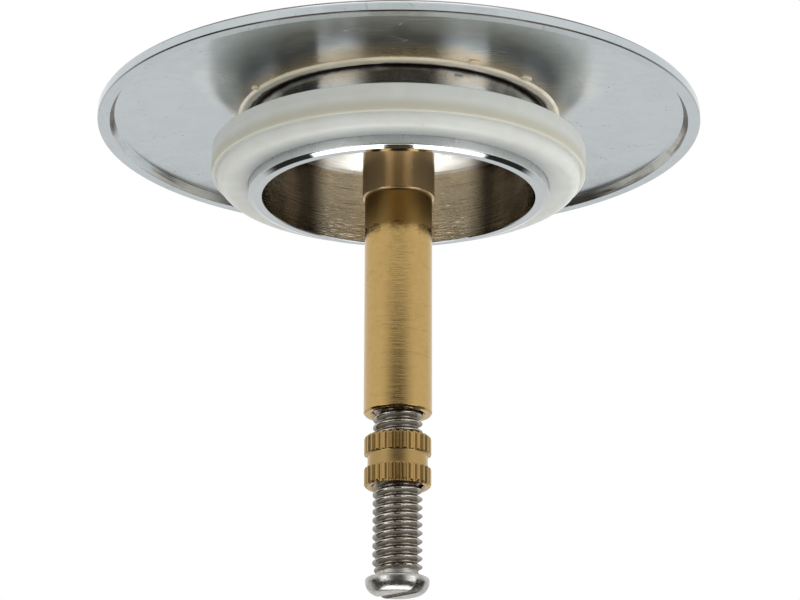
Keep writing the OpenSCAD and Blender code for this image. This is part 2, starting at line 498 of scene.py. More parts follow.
class Effects:
    """The node groups that more than one finish uses, each built once."""

    def __init__(self) -> None:
        """Builds every group."""
        self.turning = self._turning()
        self.marks = self._marks()
        self.smudge = self._smudge()

    @staticmethod
    def _group(name: str, inputs: dict[str, float], outputs: Sequence[str],
               ) -> tuple[Wiring, Outputs, bpy.types.NodeInputs]:
        """Starts a group that takes a vector and some numbers and gives numbers.

        Args:
            name: Name of the group.
            inputs: Default of each number that it takes.
            outputs: Names of what it gives.

        Returns:
            The wiring, the sockets of what comes in and the sockets of what goes out.
        """
        tree = bpy.data.node_groups.new(name, "ShaderNodeTree")
        tree.interface.new_socket("Vector", in_out="INPUT", socket_type="NodeSocketVector")
        for label, value in inputs.items():
            made = tree.interface.new_socket(label, in_out="INPUT", socket_type="NodeSocketFloat")
            made.default_value = value
        for label in outputs:
            tree.interface.new_socket(label, in_out="OUTPUT", socket_type="NodeSocketFloat")
        wire = Wiring(tree)
        return wire, wire.node("NodeGroupInput").outputs, wire.node("NodeGroupOutput").inputs

    def _turning(self) -> Tree:
        """Rings that a lathe tool leaves: noise drawn out along each circle round Z.

        The noise is read at (cos a, sin a) times Arc and at (height + distance from the axis)
        times Rings, so it has no seam and runs round on walls and faces alike.
        """
        inputs = {"Rings": 8.0, "Arc": 1.5, "Detail": 5.0}
        wire, start, end = self._group("turning_marks", inputs, ("Height", "Lines"))
        x, y, z = wire.parts(wire.scaled(start["Vector"], 1 / MM))
        r = wire.math("SQRT", wire.plus(wire.times(x, x), wire.times(y, y)))
        r = wire.math("MAXIMUM", r, 0.01)
        cos, sin = (wire.times(wire.math("DIVIDE", side, r), start["Arc"]) for side in (x, y))
        height = wire.times(wire.plus(z, r), start["Rings"])
        drawn = wire.node("ShaderNodeCombineXYZ", cos, sin, height).outputs[0]
        fine = wire.noise(drawn, 1.0, detail=start["Detail"], rough=0.7)
        broad = wire.noise(drawn, 0.23)
        both = wire.plus(wire.times(fine, 0.6), wire.times(broad, 0.4))
        wire.feed(end["Height"], both)
        wire.feed(end["Lines"], wire.ramp(both, 0.52, 0.68))
        return wire.tree

    def _marks(self) -> Tree:
        """Specks and short scratches: cells near their centre, thinned out by a broad noise."""
        inputs = {"Scale": 1.0, "Amount": 0.5}
        wire, start, end = self._group("specks_and_scratches", inputs, ("Specks", "Scratches"))
        place = wire.scaled(wire.scaled(start["Vector"], 1 / MM), start["Scale"])
        low = wire.minus(0.75, wire.times(0.35, start["Amount"]))
        kept = wire.ramp(wire.noise(place, 0.31, detail=3.0), low, 0.8)
        dots = wire.cells(wire.vector("ADD", place, (0.37, 0.11, 0.53)), "F1", 0.9)
        wire.feed(end["Specks"], wire.times(wire.ramp(dots, 0.16, 0.05), kept))
        lines = wire.cells(wire.vector("MULTIPLY", place, (0.22, 1.5, 1.5)), "DISTANCE_TO_EDGE", 0.5)
        wire.feed(end["Scratches"], wire.times(wire.ramp(lines, 0.012, 0.0), kept))
        return wire.tree

    def _smudge(self) -> Tree:
        """Soft patches: a broad noise that is bent by its own distortion."""
        inputs = {"Size": 3.0, "Low": 0.0, "High": 1.0}
        wire, start, end = self._group("soft_patches", inputs, ("Value", "Patch"))
        place = wire.scaled(wire.scaled(start["Vector"], 1 / MM), wire.math("DIVIDE", 1.0, start["Size"]))
        patch = wire.ramp(wire.noise(place, 1.0, detail=4.0, rough=0.55, warp=0.8), 0.35, 0.65)
        spread = wire.minus(start["High"], start["Low"])
        wire.feed(end["Value"], wire.plus(start["Low"], wire.times(patch, spread)))
        wire.feed(end["Patch"], patch)
        return wire.tree


# Finishes


@dataclass(frozen=True)
class Halo:
    """A zone of changed colour, mostly painted shade and reflections: full at one distance from its centre
    and none at the other.

    Each part of the distance is weighed by along, and ragged moves the zone's edge by the patches.
    """

    full: float
    none: float
    colour: Colour
    strength: float
    rough: float = 0.0
    along: Place = AROUND
    ragged: float = 0.0
    centre: Place = ORIGIN


@dataclass(frozen=True)
class Metal:
    """A metal with lathe rings, patches, specks and zones of changed colour, mostly painted shade and
    reflections.
    """

    name: str
    colour: Colour
    shade: Colour
    rough: float
    rough_spread: float = 0.03
    rings: float = 8.0
    arc: float = 1.5
    ring_detail: float = 5.0
    ring_depth: float = 0.0
    ring_shade: float = 0.0
    patch_size: float = 4.0
    patch_shade: float = 0.2
    speck_amount: float = 0.3
    speck_colour: Colour = (0.05, 0.045, 0.04)
    scratch_shade: float = 0.4
    scratch_rough: float = 0.2
    blur: float = 0.0
    blur_turn: float = 0.25
    metallic: float = 1.0
    grazing: float = 1.0
    lean: float = 0.0
    halos: tuple[Halo, ...] = ()

    def material(self, effects: Effects) -> bpy.types.Material:
        """Builds the material.

        Args:
            effects: The shared node groups.

        Returns:
            A Principled metal whose colour, roughness and bump vary over the surface.
        """
        paint = Paint(self.name)
        where = paint.where
        turning = paint.group(effects.turning, Vector=where, Rings=self.rings, Arc=self.arc,
                              Detail=self.ring_detail)
        patches = paint.group(effects.smudge, Vector=where, Size=self.patch_size,
                              Low=self.rough - self.rough_spread, High=self.rough + self.rough_spread)
        marks = paint.group(effects.marks, Vector=where, Amount=self.speck_amount)
        shade = paint.plus(paint.times(patches["Patch"], self.patch_shade),
                           paint.times(turning["Lines"], self.ring_shade), clamp=True)
        colour = paint.mix(shade, self.colour, self.shade)
        worn = paint.plus(marks["Specks"], paint.times(marks["Scratches"], self.scratch_shade), clamp=True)
        colour = paint.mix(worn, colour, self.speck_colour)
        rough = paint.plus(patches["Value"], paint.times(marks["Scratches"], self.scratch_rough))
        # Each zone mixes in its colour and adds roughness; most zones are painted shade and painted
        # reflections.
        for halo in self.halos:
            off = paint.vector("SUBTRACT", where, tuple(value * MM for value in halo.centre))
            reach = paint.plus(paint.length(off, halo.along), paint.times(patches["Patch"], halo.ragged * MM))
            zone = paint.ramp(reach, halo.none * MM, halo.full * MM)
            colour = paint.mix(paint.times(zone, halo.strength), colour, halo.colour)
            rough = paint.plus(rough, paint.times(zone, halo.rough))
        paint.dress(Base_Color=colour, Roughness=rough, Metallic=self.metallic,
                    Specular_Tint=(self.grazing,) * 3)
        if self.blur > 0:
            tangent = paint.vector("NORMALIZE", paint.vector("CROSS_PRODUCT", UP, where))
            paint.dress(Anisotropic=self.blur, Anisotropic_Rotation=self.blur_turn, Tangent=tangent)
        if self.ring_depth > 0:
            normal = paint.bump(turning["Height"], self.ring_depth)
            if self.lean > 0:
                away = paint.vector("NORMALIZE", paint.vector("MULTIPLY", where, AROUND))
                leaning = paint.vector("ADD", normal, paint.scaled(away, -self.lean))
                normal = paint.vector("NORMALIZE", leaning)
            paint.dress(Normal=normal)
        return paint.made


@dataclass(frozen=True)
class Silicone:
    """Translucent silicone rubber: light scatters under a matt, slightly cloudy skin.

    The lower part of the band darkens and warms, a painted shade, and the foot is greyer towards the collar
    on its near side, also a painted shade. A pair of numbers says where a zone starts and where it is full.
    """

    name: str
    colour: Colour
    shade: Colour
    rough: float
    depth: float
    rough_spread: float = 0.06
    patch_size: float = 5.0
    patch_shade: float = 0.6
    grain: float = 3.0
    grain_depth: float = 0.012
    # Painted shade: the band's lower part and the foot's near side.
    band_painted_shade: Colour = (0.46, 0.44, 0.35)
    band_shade_fade: Range = (4.6, 3.15)
    band_shade_end: Range = (2.65, 2.75)
    foot: Colour = (0.36, 0.38, 0.37)
    foot_shade_r: Range = (20.8, 18.2)
    foot_shade_y: Range = (4.0, -12.0)
    zone_shade: float = 0.8
    speck: Colour = (0.16, 0.15, 0.13)
    speck_scale: float = 0.55
    speck_amount: float = 0.35
    speck_shade: float = 0.75
    scatter: Colour = (1.0, 0.9, 0.75)
    scatter_share: float = 0.75
    bends_light: float = 1.41

    def material(self, effects: Effects) -> bpy.types.Material:
        """Builds the material.

        Args:
            effects: The shared node groups.

        Returns:
            A Principled silicone with subsurface scattering and a fine grain.
        """
        paint = Paint(self.name)
        where = paint.where
        cloud = paint.group(effects.smudge, Vector=where, Size=self.patch_size,
                            Low=self.rough - self.rough_spread, High=self.rough + self.rough_spread)
        marks = paint.group(effects.marks, Vector=where, Scale=self.speck_scale, Amount=self.speck_amount)
        _, y, z = paint.parts(where)
        # Painted shade: the band darkens towards its lower edge, and the foot greys towards the collar on its
        # near side.
        fade, end, near = (paint.ramp(value, low * MM, high * MM) for value, (low, high) in (
            (z, self.band_shade_fade), (z, self.band_shade_end), (y, self.foot_shade_y)))
        foot = paint.ramp(paint.length(where, AROUND), *(value * MM for value in self.foot_shade_r))
        colour = paint.mix(paint.times(cloud["Patch"], self.patch_shade), self.colour, self.shade)
        for zone, strength, tone in ((paint.times(fade, end), self.zone_shade, self.band_painted_shade),
                                     (paint.times(foot, near), self.zone_shade, self.foot),
                                     (marks["Specks"], self.speck_shade, self.speck)):
            colour = paint.mix(paint.times(zone, strength), colour, tone)
        grain = paint.noise(paint.scaled(where, 1 / MM), self.grain, detail=4.0)
        paint.dress(Base_Color=colour, Roughness=cloud["Value"], Subsurface_Weight=self.scatter_share,
                    Subsurface_Radius=self.scatter, Subsurface_Scale=self.depth * MM, IOR=self.bends_light,
                    Normal=paint.bump(grain, self.grain_depth))
        return paint.made


# Brown of the painted shade on the lip's inner wall.
PAINTED_SHADE_BROWN: Colour = (0.07, 0.055, 0.045)
BRASS_SPECK: Colour = (0.10, 0.06, 0.03)

FINISHES = (
    # cap_chrome: the front zone is a painted reflection tint and the warm ring round the bead is a painted
    # reflection. The pale zones at x -20.3 and 20.6 are painted light over a rougher haze.
    Metal("cap_chrome", (0.53, 0.575, 0.59), (0.48, 0.52, 0.535), 0.17, 0.02, rings=2.0, arc=9.0,
          patch_shade=0.35, speck_amount=1.15, speck_colour=(0.14, 0.15, 0.15), blur=0.85, halos=(
              Halo(12.0, 20.0, (0.50, 0.50, 0.46), 0.8, along=(1.0, 1.6, 0.0), centre=(0.0, -22.0, 0.0)),
              Halo(18.6, 23.2, (1.0, 0.80, 0.54), 0.95, 0.12, (1.08, 1.0, 0.0), 0.8, (0.0, -2.5, 0.0)),
              *(Halo(0.0, 4.4, (0.76, 0.76, 0.72), 0.8, 0.12, (1.0, 0.4, 0.0), 0.8, (x, -12.5, 0.0))
                for x in (-20.3, 20.6)))),
    Metal("top_chrome", (0.56, 0.59, 0.60), (0.50, 0.52, 0.53), 0.08, 0.02, rings=2.0, arc=9.0,
          patch_shade=0.1, speck_amount=0.2, blur=0.5, grazing=0.8),
    # edge_chrome: painted shade, a dark line on the lip's near side, which the zone turns back to chrome away
    # from the front.
    Metal("edge_chrome", (0.07, 0.06, 0.055), (0.20, 0.19, 0.18), 0.25, 0.05, rings=2.0, arc=6.0,
          patch_size=6.0, patch_shade=0.7,
          halos=(Halo(2.0, 27.0, (0.50, 0.54, 0.56), 0.95, along=DEPTH, centre=(0.0, -6.0, 0.0)),)),
    # wall_chrome: the pale zone at the left is painted light. The brown zones across the middle and over the
    # front are painted shade, and the dark rings are turning marks.
    Metal("wall_chrome", (0.62, 0.61, 0.56), (0.05, 0.045, 0.04), 0.40, 0.05, rings=2.5,
          ring_detail=3.0, ring_shade=1.5, metallic=0.4, halos=(
              Halo(5.5, 9.0, (0.62, 0.66, 0.68), 0.9, centre=(-33.5, 9.0, 0.0)),
              Halo(22.3, 27.0, PAINTED_SHADE_BROWN, 0.9, along=ACROSS, centre=(1.5, 0.0, 0.0)),
              Halo(34.5, 40.0, PAINTED_SHADE_BROWN, 0.9, along=DEPTH, centre=(0.0, -36.0, 0.0)))),
    # neck_chrome: brown at the top of the neck, under the bead, is painted shade.
    Metal("neck_chrome", (0.50, 0.55, 0.60), (0.30, 0.31, 0.31), 0.12, 0.03, rings=7.0, arc=3.0,
          ring_detail=3.0, ring_depth=0.02, ring_shade=0.6, blur=0.5,
          halos=(Halo(9.9, 8.9, (0.07, 0.045, 0.03), 0.85, 0.1, UP, -0.5),)),
    Metal("rim_satin", (0.53, 0.56, 0.57), (0.46, 0.48, 0.49), 0.05, 0.02, rings=6.0, arc=9.0,
          ring_depth=0.003, ring_shade=0.2),
    Metal("collar_satin", (0.70, 0.72, 0.72), (0.56, 0.58, 0.58), 0.30, 0.05, rings=5.0, arc=30.0,
          ring_depth=0.02, ring_shade=0.3),
    # flange_satin: darker next to the neck, a painted shade.
    Metal("flange_satin", (0.86, 0.87, 0.84), (0.76, 0.76, 0.73), 0.50, 0.04, rings=5.0, arc=3.0,
          ring_depth=0.006, ring_shade=0.3, metallic=0.0,
          halos=(Halo(18.8, 20.2, (0.16, 0.16, 0.155), 0.9),)),
    # cup_nickel: dark at both sides, a painted shade, with lighter streaks in it that are painted highlights.
    # The rings are turning marks.
    Metal("cup_nickel", (1.0, 0.88, 0.66), (0.34, 0.26, 0.17), 0.14, 0.02, rings=5.5, arc=3.0,
          ring_detail=3.5, ring_depth=0.08, ring_shade=0.85, patch_shade=0.1, speck_amount=0.1, blur=0.8,
          halos=(Halo(11.0, 8.2, (0.06, 0.045, 0.03), 0.94, along=ACROSS),
                 *(Halo(0.3, 1.7, (0.34, 0.26, 0.18), 0.55, along=ACROSS, ragged=0.6, centre=(x, 0.0, 0.0))
                   for x in (-13.2, 12.6)))),
    # solder_tin: dark at the inner edge by the neck, a painted shade in the groove.
    Metal("solder_tin", (0.97, 0.91, 0.75), (0.80, 0.72, 0.56), 0.34, 0.05, rings=0.6, arc=8.0,
          patch_size=3.5, patch_shade=0.5, speck_amount=0.6, speck_colour=(0.16, 0.15, 0.14),
          metallic=0.25, halos=(Halo(18.1, 18.6, (0.06, 0.035, 0.02), 0.92, 0.1, ragged=0.3),)),
    # pool_tin: darker beyond about 8.4 mm to each side, a painted shade.
    Metal("pool_tin", (0.98, 0.96, 0.90), (0.88, 0.85, 0.78), 0.30, 0.03, rings=4.0, arc=2.0,
          ring_detail=3.0, ring_depth=0.01, ring_shade=0.4, patch_size=3.0, patch_shade=0.3,
          speck_amount=0.9, speck_colour=(0.10, 0.09, 0.08), metallic=0.45, lean=0.6,
          halos=(Halo(10.6, 8.4, (0.07, 0.05, 0.035), 0.92, along=ACROSS),)),
    # boss_nickel: a dark stripe down the middle, where x is near 0, is a painted reflection.
    Metal("boss_nickel", (0.58, 0.43, 0.23), (0.44, 0.31, 0.16), 0.24, 0.03, rings=6.0,
          ring_detail=3.0, ring_depth=0.004, ring_shade=0.2, metallic=0.8,
          halos=(Halo(0.2, 1.1, (0.25, 0.17, 0.08), 0.85, along=ACROSS),)),
    Metal("stem_brass", (0.50, 0.335, 0.125), (0.36, 0.24, 0.088), 0.11, 0.02, rings=6.0, arc=2.6,
          ring_detail=3.0, ring_depth=0.007, ring_shade=0.5, patch_size=0.9, speck_amount=0.5,
          speck_colour=BRASS_SPECK, halos=(Halo(3.9, 4.8, (0.34, 0.21, 0.065), 0.9, 0.25, UP, 0.5),)),
    Metal("nut_brass", (0.42, 0.28, 0.11), (0.22, 0.14, 0.055), 0.20, 0.04, rings=9.0, arc=3.0,
          ring_depth=0.003, ring_shade=0.2, speck_amount=0.4, speck_colour=BRASS_SPECK),
    # screw_steel: darker in the thread's roots, a painted shade.
    Metal("screw_steel", (0.52, 0.50, 0.46), (0.36, 0.34, 0.30), 0.18, 0.05, rings=4.0, arc=4.0,
          ring_depth=0.003, ring_shade=0.3, grazing=0.5,
          halos=(Halo(2.4, 2.85, (0.22, 0.18, 0.13), 0.65, 0.1),)),
    Metal("head_steel", (0.50, 0.49, 0.46), (0.30, 0.285, 0.26), 0.27, 0.08, rings=3.0, arc=9.0,
          ring_depth=0.012, ring_shade=0.2, patch_size=0.5, patch_shade=0.5),
    Silicone("seal_silicone", (0.60, 0.62, 0.59), (0.56, 0.56, 0.51), 0.40, 2.0),
)


# Pieces


@dataclass
class Piece:
    """Puts finished meshes on a body and reports each one."""

    materials: dict[str, bpy.types.Material]
    body: Body = Body.PLUG

    def place(self, mesh: Mesh, slot: Slot, stands_for: str | None, *finishes: str) -> None:
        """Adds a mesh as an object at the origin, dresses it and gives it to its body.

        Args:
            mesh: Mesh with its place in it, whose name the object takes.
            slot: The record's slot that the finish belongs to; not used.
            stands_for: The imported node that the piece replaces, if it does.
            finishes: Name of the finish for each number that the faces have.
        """
        made = new_object(mesh.name, mesh)
        for finish in finishes:
            mesh.materials.append(self.materials[finish])
        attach(made, self.body.value)
        if stands_for:
            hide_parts(stands_for)
        LOG.info("%s: %d faces on %s", mesh.name, len(mesh.polygons), self.body.value)


@dataclass
class Cap(Piece):
    """The chrome cap: a domed sheet with a thicker lip around its underside.

    The lip has a painted dark line, a painted shade, along its outer bottom corner and one below its
    shoulder, both on the near side, and the cove inside it carries painted shade except on the near side.
    """

    outer_r: float = 36.0
    lip_z: float = 8.8
    lip_w: float = 1.45
    cove_w: float = 0.55
    cove_h: float = 0.9
    sheet: float = 0.65
    dome_r: float = 600.0
    edge_round: float = 0.6
    rows: int = 90
    corner_in: float = 1.28
    corner_h: float = 0.15
    shoulder_in: float = 0.7
    shoulder_drop: float = 0.2
    shoulder_half: float = 0.16
    line_y: float = -6.0
    cove_fade: Range = (-8.0, -18.0)
    cols: int = 384

    @property
    def inner_r(self) -> float:
        """Radius where the cove meets the dome."""
        return self.outer_r - self.lip_w - self.cove_w

    def under_z(self, r: Array | float) -> Array | float:
        """Height of the underside at a distance from the axis: a parabola of the dome's radius."""
        return self.lip_z + self.cove_h + (self.inner_r ** 2 - np.square(r)) / (2 * self.dome_r)

    def top_z(self, r: Array | float) -> Array | float:
        """Height of the top at a distance from the axis."""
        return self.under_z(r) + self.sheet

    def outline(self) -> Array:
        """Half outline from the underside's centre round the lip to the top's centre."""
        start, shoulder, last = self.inner_r - 0.5, self.outer_r - self.edge_round, self.outer_r - 1.2
        r = np.linspace(0.0, start, self.rows)
        under = np.stack([r, self.under_z(r)], axis=1)
        rim = rounded_path([
            (start, self.under_z(start), 0), (self.inner_r, self.lip_z + self.cove_h, 0.18),
            (self.outer_r - self.lip_w, self.lip_z, 0.12), (self.outer_r, self.lip_z, 0.14),
            (self.outer_r, self.top_z(shoulder), self.edge_round - 0.02), (last, self.top_z(last), 0),
        ], closed=False, steps=8)
        r = np.linspace(self.outer_r - 1.3, 0.0, self.rows)
        top = np.stack([r, self.top_z(r)], axis=1)
        return np.concatenate([under, rim[1:], top])

    def build(self) -> None:
        """Makes the cap, with its painted dark lines, the lip's inner wall and the top as faces of their own.
        """
        mesh = grid_mesh("cap_sheet", turned_grid(self.outline(), self.cols), Ends.POLES)
        self.place(mesh, Slot.CAP, "cap", "cap_chrome", "edge_chrome", "wall_chrome", "top_chrome")
        reach, z, depth = face_places(mesh)
        off, top = reach - self.outer_r + self.lip_w, self.top_z(self.outer_r - self.edge_round)
        # Painted shade: dark lines on the near side, along the lip's outer bottom corner and below its
        # shoulder.
        corner = (off > self.corner_in) & (z < self.lip_z + self.corner_h)
        shoulder = (off > self.shoulder_in) & (abs(z - top + self.shoulder_drop) < self.shoulder_half)
        edge = (corner | shoulder) & (depth < self.line_y)
        # The cove's wall, except on the near side, takes the finish with painted shade.
        near = share(depth, *self.cove_fade)
        wall = (off > self.cove_w * (near - 1.0)) & (off < 0.0) & (z < self.lip_z + self.cove_h)
        upper = z > self.under_z(reach) + self.sheet / 2
        number_faces(mesh, {1: edge, 2: wall, 3: upper})


@dataclass
class Hub(Piece):
    """The turned cup with its neck, groove, collar and rim."""

    neck_r: float = 17.6
    groove_r: float = 17.0
    cup_r: float = 16.25
    collar_r: float = 17.9
    collar_h: float = 1.6
    rim_r: float = 17.2
    bevel_h: float = 0.28
    seal_top: float = 6.05
    flange_r: float = 21.5
    flange_t: float = 0.8
    web_z: float = 9.513
    cols: int = 320

    def build(self, cap: Cap) -> None:
        """Makes the hub, whose faces are numbered by where they lie on the outline.

        Args:
            cap: The cap that the neck meets.
        """
        ledge = self.seal_top - self.flange_t
        path = profile([
            *((r, cap.under_z(r), 0.0) for r in (0.0, 6.0, 12.0)),
            (self.neck_r, cap.under_z(self.neck_r), 0.02), (self.neck_r, self.seal_top, 0.05),
            (self.flange_r, self.seal_top, 0.03), (self.flange_r, ledge, 0.02), (self.groove_r, ledge, 0.02),
            (self.groove_r, self.collar_h, 0.02), (self.collar_r, self.collar_h, 0.08),
            (self.collar_r, self.bevel_h, 0.12), (self.rim_r, 0.0, 0.06), (self.cup_r, 0.0, 0.12),
            (self.cup_r, self.web_z, 0.05), (0.0, self.web_z, 0.0)], 0.35, closed=False, steps=8)
        mesh = grid_mesh("hub_cup", turned_grid(path, self.cols), Ends.POLES)
        self.place(mesh, Slot.HUB, "hub", "neck_chrome", "cup_nickel", "rim_satin", "collar_satin",
                   "flange_satin")
        reach, z, _ = face_places(mesh)
        inside, low = (reach < self.cup_r + 0.1) & (z > 0.15), z < self.collar_h + 0.4
        collar, flange = low & (z > self.bevel_h + 0.02), ~low & (reach > self.neck_r + 0.05)
        number_faces(mesh, {1: inside, 3: collar, 2: low, 4: flange})


@dataclass
class Solder(Piece):
    """The pale solder: a bead outside the neck, drops on it and a pool in the cup.

    Each drop has its distance from the axis, its angle in degrees and its half width and length.
    """

    DROPS: ClassVar = ((19.45, -149.5, 0.45, 0.55), (19.9, -64.2, 0.4, 0.75),
                       (19.75, -41.7, 0.5, 0.85), (18.5, -31.4, 0.25, 0.2))
    bead_in: float = 17.62
    bead_out: float = 19.28
    bead_top: float = 10.42
    pool_in: float = 4.31
    pool_out: float = 16.24
    pool_top: float = 9.49
    bead_bumps: float = 0.012
    bead_ripple: float = 0.05
    pool_bumps: float = 0.02
    drop_sink: float = 0.10
    drop_h: float = 0.14
    bead_cols: int = 360
    pool_cols: int = 300

    def bead(self, cap: Cap) -> Mesh:
        """A thin flat ring under the cap, uneven at its outer edge, with a gap at the neck.

        Args:
            cap: The cap that it lies under.

        Returns:
            The mesh.
        """
        path = profile([
            (self.bead_in, self.bead_top, 0.02), (self.bead_in, 10.18, 0.03), (17.80, 10.28, 0.08),
            (18.1, 10.04, 0.2), (self.bead_out - 0.35, 10.08, 0.35),
            (self.bead_out, cap.under_z(self.bead_out) + 0.03, 0.02)], 0.15)
        r, z = path[:, :1], path[:, 1:]
        grid = turned_grid(path, self.bead_cols)
        low = share(z, self.bead_top - 0.06, self.bead_top - 0.16)
        grid[..., 2] += self.bead_bumps * waves(grid, r * 2, 5, 22.0) * low
        swell(grid, self.bead_ripple * waves(grid, 0 * r, 11, 7.0) * share(r, 18.9, 19.3), self.bead_out)
        return grid_mesh("solder_bead_ring", grid, Ends.RING)

    def pool(self) -> Mesh:
        """The solder on the cup's ceiling, hollow towards the wall and the boss, and uneven."""
        path = profile([
            (self.pool_in, self.pool_top, 0.02), (self.pool_in, 8.75, 0.01), (4.5, 9.2, 0.4),
            (15.9, 9.18, 0.3), (self.pool_out, 8.9, 0.02), (self.pool_out, self.pool_top, 0.02)],
            0.2, steps=8)
        r, z = path[:, :1], path[:, 1:]
        grid = turned_grid(path, self.pool_cols)
        low = share(z, self.pool_top - 0.01, self.pool_top - 0.03) * share(r, 4.5, 5.0) * share(r, 16.0, 15.5)
        grid[..., 2] += self.pool_bumps * waves(grid, r, 3, 5.0, 16) * low
        return grid_mesh("solder_pool_disc", grid, Ends.RING)

    def drop(self, r: float, angle: float, width: float, length: float, cap: Cap) -> Array:
        """A drop: a flattened ball whose width and length differ, half sunk in the cap's underside.

        Args:
            r: Distance of its centre from the axis.
            angle: Its angle round the axis.
            width: Its half width along the radius.
            length: Its half width round the axis.
            cap: The cap that it hangs from.

        Returns:
            The grid of its points.
        """
        up = np.linspace(-math.pi / 2, math.pi / 2, 13)[:, None]
        turn = np.arange(24)[None, :] * (FULL_TURN / 24)
        a, b = width * np.cos(up) * np.cos(turn), length * np.cos(up) * np.sin(turn)
        x = (r + a) * math.cos(angle) - b * math.sin(angle)
        y = (r + a) * math.sin(angle) + b * math.cos(angle)
        z = cap.under_z(r) - self.drop_sink + self.drop_h * np.sin(up)
        return np.stack(np.broadcast_arrays(x, y, z), axis=-1)

    def build(self, cap: Cap) -> None:
        """Makes the bead, the pool and the drops.

        Args:
            cap: The cap that they hang from.
        """
        self.place(self.bead(cap), Slot.SOLDER, "solder_bead", "solder_tin")
        self.place(self.pool(), Slot.SOLDER, "solder_pool", "pool_tin")
        for number, (r, degrees, width, length) in enumerate(self.DROPS, 1):
            grid = self.drop(r, math.radians(degrees), width, length, cap)
            self.place(grid_mesh(f"solder_drop_{number}", grid, Ends.POLES), Slot.SOLDER, None, "solder_tin")


@dataclass
class Seal(Piece):
    """The silicone ring: a wide band, a step and a narrower part with a round foot."""

    seat_r: float = 17.02
    inner_r: float = 21.51
    ledge_z: float = 5.24
    band_r: float = 22.35
    low_r: float = 21.65
    inner_z: float = 1.6
    foot_z: float = 1.25
    step_z: float = 2.7
    top_z: float = 6.05
    wander: float = 0.018
    shrink: float = 0.02
    cols: int = 360

    def build(self) -> None:
        """Makes the ring, whose outer side wanders a little from its circle."""
        path = profile([
            (self.seat_r, self.inner_z, 0.02), (17.92, self.inner_z, 0.0), (17.94, 1.38, 0.05),
            (self.low_r - 0.2, self.foot_z, 1.15), (self.low_r, self.step_z - 0.02, 0.15),
            (self.band_r - 0.1, self.step_z, 0.14), (self.band_r, self.top_z - 1.4, 3.0),
            (self.band_r - 0.05, self.top_z, 0.22), (self.inner_r, self.top_z, 0.02),
            (self.inner_r, self.ledge_z, 0.02), (self.seat_r, self.ledge_z, 0.02)], 0.25, steps=10)
        grid = turned_grid(path, self.cols)
        uneven = waves(grid, path[:, 1:] * 0.7, 8, 7.0)
        swell(grid, (self.wander * uneven - self.shrink) * share(path[:, :1], 19.0, 21.0), self.band_r)
        mesh = grid_mesh("seal_silicone_ring", grid, Ends.RING)
        self.place(mesh, Slot.SEAL, "seal_ring", "seal_silicone")


@dataclass
class Stem(Piece):
    """The boss and the brass stem that it carries, with the bore for the screw."""

    boss_r: float = 4.3
    boss_top: float = 9.5
    stem_r: float = 4.0
    end_z: float = -26.6
    bore_r: float = 2.95
    bore_depth: float = 22.0
    drill_tip: float = 1.4
    spigot_r: float = 3.0
    spigot_len: float = 6.5
    slack: float = 0.01
    cols: int = 192

    def build(self) -> None:
        """Makes the boss and the stem."""
        hole, hole_top = self.spigot_r + self.slack, self.spigot_len + 2 * self.slack
        path = profile([
            (0, self.boss_top, 0), (self.boss_r, self.boss_top, 0.02), (self.boss_r, 0.0, 0.2),
            (hole, 0.0, 0.02), (hole, hole_top, 0.02), (0, hole_top, 0)], 0.4, closed=False)
        mesh = grid_mesh("boss_post", turned_grid(path, self.cols), Ends.POLES)
        self.place(mesh, Slot.BOSS, "stem_boss", "boss_nickel")
        bore_top = self.end_z + self.bore_depth
        path = profile([
            (0, self.spigot_len, 0), (self.spigot_r, self.spigot_len, 0.1), (self.spigot_r, 0.0, 0.02),
            (self.stem_r - 0.12, 0.0, 0.02), (self.stem_r, -0.2, 0.08), (self.stem_r, self.end_z + 0.2, 0.08),
            (self.stem_r - 0.18, self.end_z, 0.06), (self.bore_r + 0.3, self.end_z, 0.05),
            (self.bore_r, self.end_z + 0.35, 0.05), (self.bore_r, bore_top, 0.05),
            (0, bore_top + self.drill_tip, 0)], 0.12, closed=False)
        grid = turned_grid(path, self.cols)
        cut_thread(grid, path, self.bore_r)
        self.place(grid_mesh("stem_rod", grid, Ends.POLES), Slot.STEM, "stem", "stem_brass")


